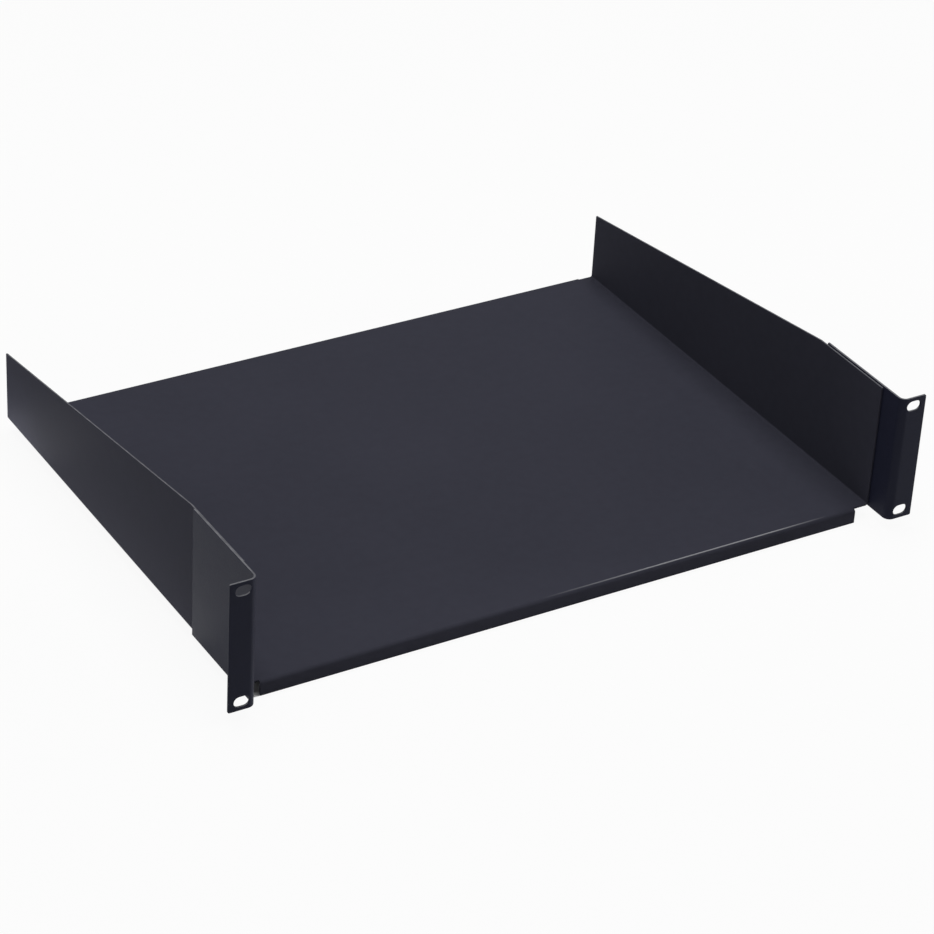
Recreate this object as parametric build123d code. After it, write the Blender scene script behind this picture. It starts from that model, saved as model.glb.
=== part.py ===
from build123d import *

import os

# A two-unit cantilever shelf for a 19-inch rack, folded from sheet steel and powder coated.
# One folded tray carries the equipment. An angle, bent from a strip of sheet, is welded to
# the outside of each tray wall and turns outwards at the front as the ear with its two slots.
# X runs to the right as seen from the front, Y to the rear and Z up, in millimetres.
# The origin is the middle of the four rack slots, on the rear faces of the ears.

# Rack standard that the ears follow
panel_width = 482.6
unit_height = 44.45
rack_units = 2
panel_play = 0.8
slot_to_unit_edge = 6.35
slot_inset = 8.75
slot_length = 10.3
slot_width = 7.0

# Rack brackets
bracket_sheet = 1.5
bracket_bend = 3.5
bracket_length = 80.0
ear_width = 18.3
ear_corner = 1.0

# Tray
tray_sheet = 1.2
tray_bend = 1.2
tray_length = 330.0
tray_setback = 20.0
deck_lift = 0.5
wall_top_drop = 1.0
level_past_bracket = 6.0
rear_wall_height = 49.0
lip_depth = 10.0
lip_notch = 11.5

# Places of the ears and their slots
ear_height = rack_units * unit_height - panel_play
ear_bottom = -ear_height / 2
slot_x = panel_width / 2 - slot_inset
slot_z = rack_units * unit_height / 2 - slot_to_unit_edge
ear_front = -bracket_sheet
bracket_rear = ear_front + bracket_length

# Places of the tray: its walls stand against the inner faces of the bracket plates
wall_face = panel_width / 2 - ear_width
tray_front = ear_front + tray_setback
tray_rear = tray_front + tray_length
deck_under = ear_bottom + deck_lift
deck_top = deck_under + tray_sheet
deck_middle = deck_under + tray_sheet / 2
wall_top = ear_bottom + ear_height - wall_top_drop
rear_wall_top = deck_under + rear_wall_height
lip_bottom = deck_top - lip_depth


def folded_section(corners, sheet, inside_radius):
    """Section of a bent sheet, from the corner points of the line midway through it."""
    middle_line = FilletPolyline(*corners, radius=inside_radius + sheet / 2)
    return trace(middle_line, sheet)


def deck_and_walls():
    """The deck with a wall folded up along each side, as tall as the taller wall end."""
    wall_middle = wall_face - tray_sheet / 2
    top = max(wall_top, rear_wall_top)
    section = folded_section(
        [(-wall_middle, top), (-wall_middle, deck_middle), (wall_middle, deck_middle), (wall_middle, top)],
        tray_sheet,
        tray_bend,
    )
    return extrude(Plane.XZ.offset(-tray_front) * section, -tray_length)


def side_profile():
    """Outline of a wall from the side: level beside the bracket, then falling to the rear."""
    knee = bracket_rear + level_past_bracket
    outline = Polyline(
        (tray_front, deck_under),
        (tray_front, wall_top),
        (knee, wall_top),
        (tray_rear, rear_wall_top),
        (tray_rear, deck_under),
        close=True,
    )
    return extrude(Plane.YZ * make_face(outline), wall_face, both=True)


def deck_and_lips():
    """The deck with a lip folded down at each end, cut short of the walls at the corners."""
    bend_to_middle = tray_bend + tray_sheet / 2
    front_middle = tray_front - bend_to_middle
    rear_middle = tray_rear + bend_to_middle
    section = folded_section(
        [
            (front_middle, lip_bottom),
            (front_middle, deck_middle),
            (rear_middle, deck_middle),
            (rear_middle, lip_bottom),
        ],
        tray_sheet,
        tray_bend,
    )
    return extrude(Plane.YZ * section, wall_face - lip_notch, both=True)


def shelf_tray():
    """The tray, folded from one sheet: deck, two tapering walls, front lip and rear lip."""
    return (deck_and_walls() & side_profile()) + deck_and_lips()


def ear_slots(x):
    """The two screw slots of one ear, long enough in Y to run out through its bend."""
    slot = Plane.XZ * SlotOverall(slot_length, slot_width)
    cutter = extrude(slot, bracket_sheet + bracket_bend, both=True)
    return [Pos(x, 0, z) * cutter for z in (-slot_z, slot_z)]


def left_rack_bracket():
    """The left angle: a plate along the wall, bent outwards at the front into the ear."""
    ear_middle = -bracket_sheet / 2
    plate_middle = -wall_face - bracket_sheet / 2
    section = folded_section(
        [(-panel_width / 2, ear_middle), (plate_middle, ear_middle), (plate_middle, bracket_rear)],
        bracket_sheet,
        bracket_bend,
    )
    angle = extrude(Plane.XY.offset(ear_bottom) * section, ear_height)
    outer_corners = angle.edges().filter_by(Axis.Y).group_by(Axis.X)[0]
    return fillet(outer_corners, ear_corner) - ear_slots(-slot_x)


left_bracket = left_rack_bracket()
parts = {
    "shelf_tray": shelf_tray(),
    "left_rack_bracket": left_bracket,
    "right_rack_bracket": mirror(left_bracket, Plane.YZ),
}

os.makedirs("parts", exist_ok=True)
for name, shape in parts.items():
    export_step(shape, f"parts/{name}.step")
    print(name, round(shape.volume), "mm3", shape.bounding_box())
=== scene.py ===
import math

import bpy
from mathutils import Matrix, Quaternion, Vector
from mathutils.geometry import delaunay_2d_cdt


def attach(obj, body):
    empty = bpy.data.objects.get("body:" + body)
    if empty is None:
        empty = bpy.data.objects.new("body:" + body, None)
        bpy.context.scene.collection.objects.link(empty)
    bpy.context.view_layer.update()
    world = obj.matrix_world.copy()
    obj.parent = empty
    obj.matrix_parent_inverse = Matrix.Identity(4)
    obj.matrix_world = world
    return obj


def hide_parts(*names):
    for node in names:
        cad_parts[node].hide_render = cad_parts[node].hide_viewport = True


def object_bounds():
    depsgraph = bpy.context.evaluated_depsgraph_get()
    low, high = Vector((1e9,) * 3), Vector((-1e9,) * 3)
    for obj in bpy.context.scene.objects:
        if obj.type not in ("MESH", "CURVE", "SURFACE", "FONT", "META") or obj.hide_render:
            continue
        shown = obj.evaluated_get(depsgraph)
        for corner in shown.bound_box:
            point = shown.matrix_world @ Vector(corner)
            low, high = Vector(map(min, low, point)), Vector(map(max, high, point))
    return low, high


# A two-unit rack shelf of folded sheet steel under a satin black powder coat. Each of its three
# sheets is made here as the real one is: a flat blank is cut, its edges are rounded as the coat
# rounds them, and Geometry Nodes fold it. The sizes are those of the solids.
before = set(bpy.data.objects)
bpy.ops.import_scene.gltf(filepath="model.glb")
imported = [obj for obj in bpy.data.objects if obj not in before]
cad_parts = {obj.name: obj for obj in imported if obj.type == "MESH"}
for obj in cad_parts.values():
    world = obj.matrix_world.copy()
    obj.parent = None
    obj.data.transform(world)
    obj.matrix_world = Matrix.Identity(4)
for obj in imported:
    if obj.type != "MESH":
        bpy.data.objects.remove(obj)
cad_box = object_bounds()

MM = 0.001
FLOOR_Z = cad_box[0].z

# Rack panel, in millimetres from the middle of the four slots
PANEL_HALF_WIDTH = 241.3
EAR_HALF_HEIGHT = 44.05
SLOT_X, SLOT_Z = 232.55, 38.1
SLOT_LENGTH, SLOT_WIDTH = 10.3, 7.0

# Rack brackets
BRACKET_SHEET = 1.5
BRACKET_BEND = 3.5
BRACKET_REAR = 78.5
EAR_FRONT = -1.5
EAR_CORNER = 1.0

# Tray
TRAY_SHEET = 1.2
TRAY_BEND = 1.2
WALL_FACE = 223.0
TRAY_FRONT, TRAY_REAR = 18.5, 348.5
DECK_MIDDLE = -42.95
LIP_BOTTOM = -52.35
LIP_HALF_LENGTH = 211.5
WALL_TOP, REAR_WALL_TOP = 43.05, 5.45
WALL_KNEE = 84.5

# How the sheets are cut and coated, and how finely
SHEARED_CORNER = 0.4
COAT_ROUNDING = 0.28
ROUNDING_STEPS = 3
CORNER_STEPS = 4
FOLD_STEPS = 10

# Points nearer than this are one point, in an outline and in its triangles
SAME_POINT = 1e-4
SAME_POINT_IN_MESH = 1e-7

# Where highlights are painted into the coat: on cut edges that face up, and where the front bend
# starts to lean
FACING_UP = 0.7
LEAN_OF_BEND_TOP = (0.1, 0.35)
BEND_TOP_DEPTH = 1.0

# The coats, each drifting between a dark and a light tone, and the tones of the highlights
# painted on them.
# The painted highlight on the front bend fades in and out across the shelf, in metres.
TRAY_TONES = (0.0370, 0.0375, 0.0510, 1), (0.0430, 0.0435, 0.0590, 1)
BRACKET_TONES = (0.0085, 0.0096, 0.0205, 1), (0.0100, 0.0112, 0.0240, 1)
TRAY_GLOSS, BRACKET_GLOSS = 0.012, 0.112
EDGE_HIGHLIGHT_TONE = (0.170, 0.172, 0.185, 1)
BEND_HIGHLIGHT_TONE = (0.270, 0.272, 0.290, 1)
BEND_HIGHLIGHT_STARTS = (-0.020, 0.070)
BEND_HIGHLIGHT_ENDS = (0.190, 0.150)

# The paper, in metres: its reach, and the part close under the shelf with its soft margins
PAPER_REACH = 6.0
PAPER_TONES = (0.69, 0.69, 0.69, 1), (0.71, 0.71, 0.71, 1)
COVERED_LEFT, COVERED_RIGHT = (-0.2165, -0.2155), (0.2115, 0.2095)
COVERED_FRONT, COVERED_REAR = (0.0162, 0.0168), (0.348, 0.344)
BACKGROUND_SHARE = 0.93
STUDIO_LIGHT = 0.05

# The camera stands where the photograph was taken from
EYE = Vector((-0.97533, -1.41737, 1.11674))
AIM = Vector((0.01480, 0.16724, -0.04235))
ROLL = math.radians(3.324)
LENS = 132.83
SENSOR = 36.0

X, Y, Z = Vector((1, 0, 0)), Vector((0, 1, 0)), Vector((0, 0, 1))


class Wire:
    """One socket of a node tree. Arithmetic on it adds Math nodes to the same tree."""

    def __init__(self, tree, socket=None):
        self.tree = tree
        self.socket = socket

    def node(self, kind, settings=None, sockets=None, output=0):
        """Adds a node: its settings first, then the values or links of its sockets."""
        made = self.tree.nodes.new(kind)
        for name, value in (settings or {}).items():
            setattr(made, name, value)
        for key, value in (sockets or {}).items():
            if isinstance(value, Wire):
                self.tree.links.new(value.socket, made.inputs[key])
            else:
                made.inputs[key].default_value = value
        return Wire(self.tree, made.outputs[output] if made.outputs else None)

    def math(self, operation, *values):
        return self.node("ShaderNodeMath", {"operation": operation}, dict(enumerate(values)))

    def __add__(self, other):
        return self.math("ADD", self, other)

    def __sub__(self, other):
        return self.math("SUBTRACT", self, other)

    def __rsub__(self, other):
        return self.math("SUBTRACT", other, self)

    def __mul__(self, other):
        return self.math("MULTIPLY", self, other)

    def __truediv__(self, other):
        return self.math("DIVIDE", self, other)

    __radd__ = __add__
    __rmul__ = __mul__

    def along(self, direction):
        """How far this vector reaches along a direction."""
        return self.node(
            "ShaderNodeVectorMath", {"operation": "DOT_PRODUCT"}, {0: self, 1: direction}, "Value"
        )

    def scaled(self, direction):
        """The direction made as long as this value."""
        return self.node(
            "ShaderNodeVectorMath", {"operation": "SCALE"}, {0: direction, "Scale": self}
        )

    def moved(self, offset):
        """This vector and the offset together."""
        return self.node("ShaderNodeVectorMath", {"operation": "ADD"}, {0: self, 1: offset})

    def ramp(self, low, high):
        """From 0 where this value is low to 1 where it is high, and level outside."""
        return self.node("ShaderNodeMapRange", None, {0: self, 1: low, 2: high})

    def blend(self, start, end):
        """The colour start where this value is 0, and end where it is 1."""
        return self.node("ShaderNodeMix", {"data_type": "RGBA"}, {0: self, 6: start, 7: end}, 2)


def material_tree(owner):
    """The emptied node tree of a material or a world."""
    owner.use_nodes = True
    owner.node_tree.nodes.clear()
    return Wire(owner.node_tree)


# ---------------------------------------------------------------- materials


def powder_coat(name, tones, gloss):
    """Satin black powder coat, drifting between two tones, with a fine pebbled skin. A painted
    highlight lightens the upper cut edges, and another lightens the top of the front bend."""
    material = bpy.data.materials.new(name)
    tree = material_tree(material)
    place = tree.node("ShaderNodeTexCoord", output="Object")

    def noise(per_metre, detail=1.0):
        return tree.node(
            "ShaderNodeTexNoise", None, {"Vector": place, "Scale": per_metre, "Detail": detail}
        )

    pebbles = noise(820.0, 2.0)
    grain = noise(2400.0)
    drift = noise(9.0, 2.0)
    mottle = noise(140.0, 2.0)
    lit_edge = tree.node("ShaderNodeAttribute", {"attribute_name": "painted_edge_highlight"}, output="Fac")
    front_bend = tree.node("ShaderNodeAttribute", {"attribute_name": "front_bend"}, output="Fac")

    tone = (0.6 * drift + 0.4 * mottle).ramp(0.3, 0.7)
    colour = tone.blend(*tones)
    # painted highlight: cut edges that face up are lightened where light from above would catch
    # them
    edge_light_share = lit_edge * (0.6 + 0.4 * mottle.ramp(0.35, 0.65))
    colour = edge_light_share.blend(colour, EDGE_HIGHLIGHT_TONE)
    across = place.along(X)
    # painted highlight: a lamp's reflection along the top of the front bend, fading in and out
    # across the shelf
    bend_highlight = front_bend * across.ramp(*BEND_HIGHLIGHT_STARTS) * across.ramp(*BEND_HIGHLIGHT_ENDS)
    colour = bend_highlight.blend(colour, BEND_HIGHLIGHT_TONE)
    skin = tree.node(
        "ShaderNodeBump",
        None,
        {"Strength": 1.0, "Distance": 0.05 * MM, "Height": 0.7 * pebbles + 0.3 * grain},
    )
    coat = tree.node(
        "ShaderNodeBsdfPrincipled",
        None,
        {
            "Base Color": colour,
            "Roughness": 0.50 + 0.10 * pebbles + 0.06 * tone,
            "Specular IOR Level": gloss,
            "Normal": skin,
        },
    )
    tree.node("ShaderNodeOutputMaterial", None, {"Surface": coat})
    return material


def background_rays(tree):
    """1 for the rays that should meet a plain white background, and 0 for the others."""
    seen = tree.node("ShaderNodeLightPath", output="Is Camera Ray")
    for name in ("Is Glossy Ray", "Is Transmission Ray"):
        seen = seen.math("MAXIMUM", seen, tree.node("ShaderNodeLightPath", output=name))
    return seen


def white_paper():
    """Matt white paper that looks almost evenly white, with a soft shadow left on it. Close
    under the shelf it is left as dark as the light makes it."""
    material = bpy.data.materials.new("white_paper")
    tree = material_tree(material)
    place = tree.node("ShaderNodeTexCoord", output="Object")
    fibres = tree.node("ShaderNodeTexNoise", None, {"Vector": place, "Scale": 60.0})
    paper = tree.node("ShaderNodeBsdfDiffuse", None, {"Color": fibres.blend(*PAPER_TONES)})
    across, depth = place.along(X), place.along(Y)
    covered = across.ramp(*COVERED_LEFT) * across.ramp(*COVERED_RIGHT)
    covered = covered * depth.ramp(*COVERED_FRONT) * depth.ramp(*COVERED_REAR)
    share = BACKGROUND_SHARE * background_rays(tree) * (1.0 - covered)
    glow = tree.node("ShaderNodeEmission", None, {"Strength": 1.0})
    seen = tree.node("ShaderNodeMixShader", None, {0: share, 1: paper, 2: glow})
    tree.node("ShaderNodeOutputMaterial", None, {"Surface": seen})
    return material


# ---------------------------------------------------------------- stage


def link(name, data):
    """A new object in the scene, at the origin."""
    made = bpy.data.objects.new(name, data)
    bpy.context.scene.collection.objects.link(made)
    return made


def make_floor():
    """The sheet of white paper that the shelf stands on."""
    far = PAPER_REACH
    mesh = bpy.data.meshes.new("floor")
    corners = [(x, y, FLOOR_Z) for x, y in ((-far, -far), (far, -far), (far, far), (-far, far))]
    mesh.from_pydata(corners, [], [(0, 1, 2, 3)])
    mesh.materials.append(white_paper())
    link("floor", mesh)


def make_camera():
    """The camera, turned a little about its own axis as the photograph is."""
    data = bpy.data.cameras.new("camera")
    data.lens = LENS
    data.sensor_width = SENSOR
    camera = link("camera", data)
    camera.location = EYE
    camera.rotation_mode = "QUATERNION"
    camera.rotation_quaternion = (AIM - EYE).to_track_quat("-Z", "Y") @ Quaternion(Z, ROLL)
    bpy.context.scene.camera = camera


def soft_light(name, place, aim, width, height, power):
    """A rectangular studio softbox at place, turned towards aim."""
    data = bpy.data.lights.new(name, "AREA")
    data.shape = "RECTANGLE"
    data.size, data.size_y = width, height
    data.energy = power
    lamp = link(name, data)
    lamp.location = place
    lamp.rotation_mode = "QUATERNION"
    lamp.rotation_quaternion = (Vector(aim) - Vector(place)).to_track_quat("-Z", "Y")
    lamp.visible_camera = False


def make_lamps():
    """One large softbox overhead, a weak one behind on the left, a low one on the right that
    draws out the bends, and two strips of bright table that light the left wall from below."""
    soft_light("overhead_softbox", (0.0, 0.2, 2.0), (0.0, 0.15, 0.0), 1.6, 1.6, 39.0)
    soft_light("left_rear_softbox", (-1.2, 1.2, 0.3), (-0.2, 0.3, 0.0), 0.8, 0.8, 4.5)
    soft_light("right_softbox", (1.8, -0.16, 0.12), (-0.2, 0.0, 0.0), 0.4, 0.4, 24.0)
    table = FLOOR_Z + 0.001
    soft_light("table_glow", (-0.241, 0.22, table), (-0.241, 0.22, 1.0), 0.03, 0.28, 0.020)
    soft_light("rear_glow", (-0.239, 0.335, table), (-0.239, 0.335, 1.0), 0.026, 0.07, 0.012)


def make_world():
    """A plain white surround that gives the shelf only a little light of its own."""
    world = bpy.data.worlds.new("studio")
    bpy.context.scene.world = world
    tree = material_tree(world)
    strength = STUDIO_LIGHT + (1.0 - STUDIO_LIGHT) * background_rays(tree)
    glow = tree.node("ShaderNodeBackground", None, {"Color": (1, 1, 1, 1), "Strength": strength})
    tree.node("ShaderNodeOutputWorld", None, {"Surface": glow})


# ---------------------------------------------------------------- flat blanks


def rounded(corners):
    """A closed outline through corners (x, y, radius). Each with a radius becomes an arc."""
    points = [Vector((x, y)) for x, y, _ in corners]
    outline = []
    for i, (corner, (_, _, radius)) in enumerate(zip(points, corners)):
        if not radius:
            outline.append(corner)
            continue
        before = (points[i - 1] - corner).normalized()
        after = (points[(i + 1) % len(points)] - corner).normalized()
        half_angle = before.angle(after) / 2
        along = radius / math.tan(half_angle)
        centre = corner + (before + after).normalized() * (radius / math.sin(half_angle))
        start = (corner + before * along - centre).normalized()
        end = (corner + after * along - centre).normalized()
        for step in range(CORNER_STEPS + 1):
            point = centre + start.slerp(end, step / CORNER_STEPS) * radius
            if not outline or (point - outline[-1]).length > SAME_POINT:
                outline.append(point)
    if (outline[0] - outline[-1]).length < SAME_POINT:
        outline.pop()
    return outline


def sideways(loop):
    """For each point of a loop, the step that shifts the loop 1 mm to its left."""
    steps = []
    for i, point in enumerate(loop):
        before = (point - loop[i - 1]).normalized()
        after = (loop[(i + 1) % len(loop)] - point).normalized()
        first, second = Vector((-before.y, before.x)), Vector((-after.y, after.x))
        steps.append((first + second) / (1 + first.dot(second)))
    return steps


def inside(point, loops):
    """Whether a point lies on the metal, by how many outlines a line from it crosses."""
    crossed = False
    for loop in loops:
        for i, end in enumerate(loop):
            start = loop[i - 1]
            if (start.y > point.y) != (end.y > point.y):
                share = (point.y - start.y) / (end.y - start.y)
                if start.x + share * (end.x - start.x) > point.x:
                    crossed = not crossed
    return crossed


def face_mesh(loops, fold_lines):
    """Triangles that fill the outlines and are cut along the fold lines."""
    points, edges = [], []
    for loop in loops:
        first = len(points)
        points += loop
        edges += [(first + i, first + (i + 1) % len(loop)) for i in range(len(loop))]
    for start, end in fold_lines:
        edges.append((len(points), len(points) + 1))
        points += [start, end]
    cut = delaunay_2d_cdt(points, edges, [], 0, SAME_POINT_IN_MESH, False)
    points, faces = cut[0], cut[2]
    kept = []
    for a, b, c in faces:
        if inside((points[a] + points[b] + points[c]) / 3, loops):
            turn = (points[b] - points[a]).cross(points[c] - points[a])
            kept.append((a, b, c) if turn > 0 else (a, c, b))
    used = sorted({i for face in kept for i in face})
    number = {old: new for new, old in enumerate(used)}
    return [points[i] for i in used], [tuple(number[i] for i in face) for face in kept]


def rim_loops(faces):
    """The closed loops of open edges round a face mesh, with the metal on their left."""
    pairs = {(face[i - 1], face[i]) for face in faces for i in range(3)}
    following = {a: b for a, b in pairs if (b, a) not in pairs}
    loops = []
    while following:
        start, at = next(iter(sorted(following.items())))
        loop = [start]
        del following[start]
        while at != start:
            loop.append(at)
            at = following.pop(at)
        loops.append(loop)
    return loops


def cut_blank(name, outlines, fold_lines, sheet, place):
    """A flat sheet with rounded edges. place(u, v, w) says where a point of it lies, with w
    from its middle; outlines have the metal on their left."""
    insets = [
        [point + step * COAT_ROUNDING for point, step in zip(loop, sideways(loop))]
        for loop in outlines
    ]
    flat, faces = face_mesh(insets, fold_lines)
    half = sheet / 2
    count = len(flat)
    points = [(p.x, p.y, half) for p in flat] + [(p.x, p.y, -half) for p in flat]
    skin = list(faces) + [tuple(count + i for i in reversed(face)) for face in faces]
    cut = [0.0] * (2 * count)
    profile = []
    for step in range(1, ROUNDING_STEPS + 1):
        angle = math.pi / 2 * step / ROUNDING_STEPS
        profile.append(
            (COAT_ROUNDING * math.sin(angle), half - COAT_ROUNDING * (1 - math.cos(angle)))
        )
    profile += [(out, -height) for out, height in reversed(profile)]
    for loop in rim_loops(faces):
        steps = sideways([flat[i] for i in loop])
        rings = [loop]
        for out, height in profile:
            rings.append(range(len(points), len(points) + len(loop)))
            for i, step in zip(loop, steps):
                point = flat[i] - step * out
                points.append((point.x, point.y, height))
                cut.append(1.0 if out == COAT_ROUNDING else 0.0)
        rings.append([count + i for i in loop])
        for upper, lower in zip(rings, rings[1:]):
            for i in range(len(loop)):
                skin.append((upper[i - 1], lower[i - 1], lower[i], upper[i]))
    mesh = bpy.data.meshes.new(name)
    mesh.from_pydata([place(*point) * MM for point in points], [], skin)
    cut_edge = mesh.attributes.new("cut_edge", "FLOAT", "POINT")
    cut_edge.data.foreach_set("value", cut)
    return mesh


# ---------------------------------------------------------------- folding


def fold(shape, outwards, turned_to, line, level, radius):
    """Turns what lies beyond a line of a sheet through a right angle. The line and the sheet's
    own level are measured along outwards and turned_to; radius is that of the sheet's middle."""
    place = shape.node("GeometryNodeInputPosition")
    reach = place.along(outwards) - line
    height = place.along(turned_to) - level
    angle = shape.node("ShaderNodeClamp", None, {0: reach / radius, 1: 0.0, 2: math.pi / 2})
    straight = reach.math("MAXIMUM", reach - radius * (math.pi / 2), 0.0)
    arm = radius - height
    new_reach = reach.math("MINIMUM", reach, 0.0) + arm * angle.math("SINE", angle)
    new_height = radius - arm * angle.math("COSINE", angle) + straight
    shift = (new_reach - reach).scaled(outwards).moved((new_height - height).scaled(turned_to))
    return shape.node("GeometryNodeSetPosition", None, {"Geometry": shape, "Offset": shift})


def folding_tree(name, folds, coat):
    """A Geometry Nodes tree that makes the folds in turn, with its sizes as named inputs.
    Each fold gives its two directions, and the names of its line and level."""
    group = bpy.data.node_groups.new(name, "GeometryNodeTree")
    sizes = ["Middle radius"] + sorted({label for _, _, *labels in folds for label in labels})
    group.interface.new_socket("Geometry", in_out="INPUT", socket_type="NodeSocketGeometry")
    for label in sizes:
        group.interface.new_socket(label, in_out="INPUT", socket_type="NodeSocketFloat")
    group.interface.new_socket("Geometry", in_out="OUTPUT", socket_type="NodeSocketGeometry")
    tree = Wire(group)
    given = group.nodes.new("NodeGroupInput")
    size = {label: Wire(group, given.outputs[label]) for label in sizes}
    shape = Wire(group, given.outputs["Geometry"])
    for outwards, turned_to, line, level in folds:
        shape = fold(shape, outwards, turned_to, size[line], size[level], size["Middle radius"])
    shape = tree.node("GeometryNodeRealizeInstances", None, {"Geometry": shape})
    shape = tree.node("GeometryNodeSetMaterial", None, {"Geometry": shape, "Material": coat})
    tree.node("NodeGroupOutput", None, {"Geometry": shape})
    return group


def folded_piece(name, node, blank, tree, sizes):
    """Folds a blank, keeps the result as a plain mesh, and lets it stand for the CAD node."""
    piece = link(name, blank)
    modifier = piece.modifiers.new("folds", "NODES")
    modifier.node_group = tree
    for item in tree.interface.items_tree:
        if item.name in sizes:
            modifier[item.identifier] = sizes[item.name] * MM
    graph = bpy.context.evaluated_depsgraph_get()
    mesh = bpy.data.meshes.new_from_object(piece.evaluated_get(graph))
    piece.modifiers.clear()
    piece.data = mesh
    mesh.name = name
    mesh.shade_smooth()
    mark_painted_highlights(mesh)
    shading = piece.modifiers.new("flat_faces_stay_flat", "WEIGHTED_NORMAL")
    shading.weight = 100
    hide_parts(node)
    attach(piece, "root")


def mark_painted_highlights(mesh):
    """Marks where highlights are painted: the cut edges that face up, and the top of the front
    bend, where the surface begins to lean forward."""
    lit_edge = mesh.attributes.new("painted_edge_highlight", "FLOAT", "POINT")
    front_bend = mesh.attributes.new("front_bend", "FLOAT", "POINT")
    low, high = LEAN_OF_BEND_TOP
    for vertex in mesh.vertices:
        i, (_, y, z), normal = vertex.index, vertex.co / MM, vertex.normal
        cut_edge = mesh.attributes["cut_edge"].data[i].value
        on_bend = y < TRAY_FRONT and abs(z - DECK_MIDDLE) < BEND_TOP_DEPTH
        # only cut edges facing up get the painted highlight
        lit_edge.data[i].value = cut_edge if normal.z > FACING_UP else 0.0
        front_bend.data[i].value = 1.0 if on_bend and low < -normal.y < high else 0.0


def strips(start, radius, low, high):
    """Fold lines across a blank, close together from a bend's start to its end. They reach
    from low to high, a little past the metal."""
    places = [start + radius * math.pi / 2 * i / FOLD_STEPS for i in range(FOLD_STEPS + 1)]
    return [(Vector((at, low)), Vector((at, high))) for at in places]


def make_tray(coat):
    """The tray's blank: the deck with its two tapering walls and two lips laid out flat."""
    radius = TRAY_BEND + TRAY_SHEET / 2
    arc = radius * math.pi / 2
    wall_line = WALL_FACE - TRAY_SHEET - TRAY_BEND
    wall_start = DECK_MIDDLE + radius
    wall_end = wall_line + arc + WALL_TOP - wall_start
    rear_wall_end = wall_line + arc + REAR_WALL_TOP - wall_start
    lip = arc + (DECK_MIDDLE - radius) - LIP_BOTTOM
    corners = [
        (LIP_HALF_LENGTH, TRAY_FRONT - lip, SHEARED_CORNER),
        (LIP_HALF_LENGTH, TRAY_FRONT, SHEARED_CORNER),
        (wall_end, TRAY_FRONT, SHEARED_CORNER),
        (wall_end, WALL_KNEE, 0.0),
        (rear_wall_end, TRAY_REAR, SHEARED_CORNER),
        (LIP_HALF_LENGTH, TRAY_REAR, SHEARED_CORNER),
        (LIP_HALF_LENGTH, TRAY_REAR + lip, SHEARED_CORNER),
    ]
    corners += [(-x, y, turn) for x, y, turn in reversed(corners)]
    walls = strips(wall_line, radius, 0.0, 400.0)
    walls += [(Vector((-a.x, a.y)), Vector((-b.x, b.y))) for a, b in walls]
    lips = []
    for a, b in strips(0.0, radius, -220.0, 220.0):
        lips.append((Vector((a.y, TRAY_FRONT - a.x)), Vector((b.y, TRAY_FRONT - b.x))))
        lips.append((Vector((a.y, TRAY_REAR + a.x)), Vector((b.y, TRAY_REAR + b.x))))
    blank = cut_blank(
        "folded_tray",
        [rounded(corners)],
        walls + lips,
        TRAY_SHEET,
        lambda u, v, w: Vector((u, v, DECK_MIDDLE + w)),
    )
    tree = folding_tree(
        "tray_folds",
        [
            (X, Z, "Wall line", "Deck level"),
            (-X, Z, "Wall line", "Deck level"),
            (-Y, -Z, "Front line", "Deck level from above"),
            (Y, -Z, "Rear line", "Deck level from above"),
        ],
        coat,
    )
    sizes = {
        "Middle radius": radius,
        "Wall line": wall_line,
        "Front line": -TRAY_FRONT,
        "Rear line": TRAY_REAR,
        "Deck level": DECK_MIDDLE,
        "Deck level from above": -DECK_MIDDLE,
    }
    folded_piece("folded_tray", "shelf_tray", blank, tree, sizes)


def make_bracket(side, coat):
    """One angle: a plate with its ear and two slots laid out flat, folded at the ear's line.
    side is -1 for the left bracket and 1 for the right one."""
    name = "right_bracket" if side > 0 else "left_bracket"
    radius = BRACKET_BEND + BRACKET_SHEET / 2
    arc = radius * math.pi / 2
    plate_level = WALL_FACE + BRACKET_SHEET / 2
    ear_line = -(EAR_FRONT + BRACKET_SHEET / 2 + radius)
    unfolded = ear_line + arc - plate_level - radius
    ear_end = unfolded + PANEL_HALF_WIDTH
    high = EAR_HALF_HEIGHT
    outline = [
        (-BRACKET_REAR, high, SHEARED_CORNER),
        (-BRACKET_REAR, -high, SHEARED_CORNER),
        (ear_end, -high, EAR_CORNER),
        (ear_end, high, EAR_CORNER),
    ]
    outlines = [rounded(outline)]
    for z in (-SLOT_Z, SLOT_Z):
        left, right = unfolded + SLOT_X - SLOT_LENGTH / 2, unfolded + SLOT_X + SLOT_LENGTH / 2
        low, top = z - SLOT_WIDTH / 2, z + SLOT_WIDTH / 2
        slot = [(left, low), (left, top), (right, top), (right, low)]
        outlines.append(rounded([(u, v, SLOT_WIDTH / 2) for u, v in slot]))
    blank = cut_blank(
        name,
        outlines,
        strips(ear_line, radius, -60.0, 60.0),
        BRACKET_SHEET,
        lambda u, v, w: Vector((side * (plate_level + w), -u, side * -v)),
    )
    outwards = side * X
    tree = folding_tree(name + "_fold", [(-Y, outwards, "Ear line", "Plate level")], coat)
    sizes = {"Middle radius": radius, "Ear line": ear_line, "Plate level": plate_level}
    folded_piece(name, name.replace("_", "_rack_"), blank, tree, sizes)


make_camera()
make_floor()
make_world()
make_lamps()

tray_coat = powder_coat("tray_coat", TRAY_TONES, TRAY_GLOSS)
bracket_coat = powder_coat("bracket_coat", BRACKET_TONES, BRACKET_GLOSS)
make_tray(tray_coat)
for side in (-1, 1):
    make_bracket(side, bracket_coat)

bpy.context.scene.view_settings.view_transform = "Standard"
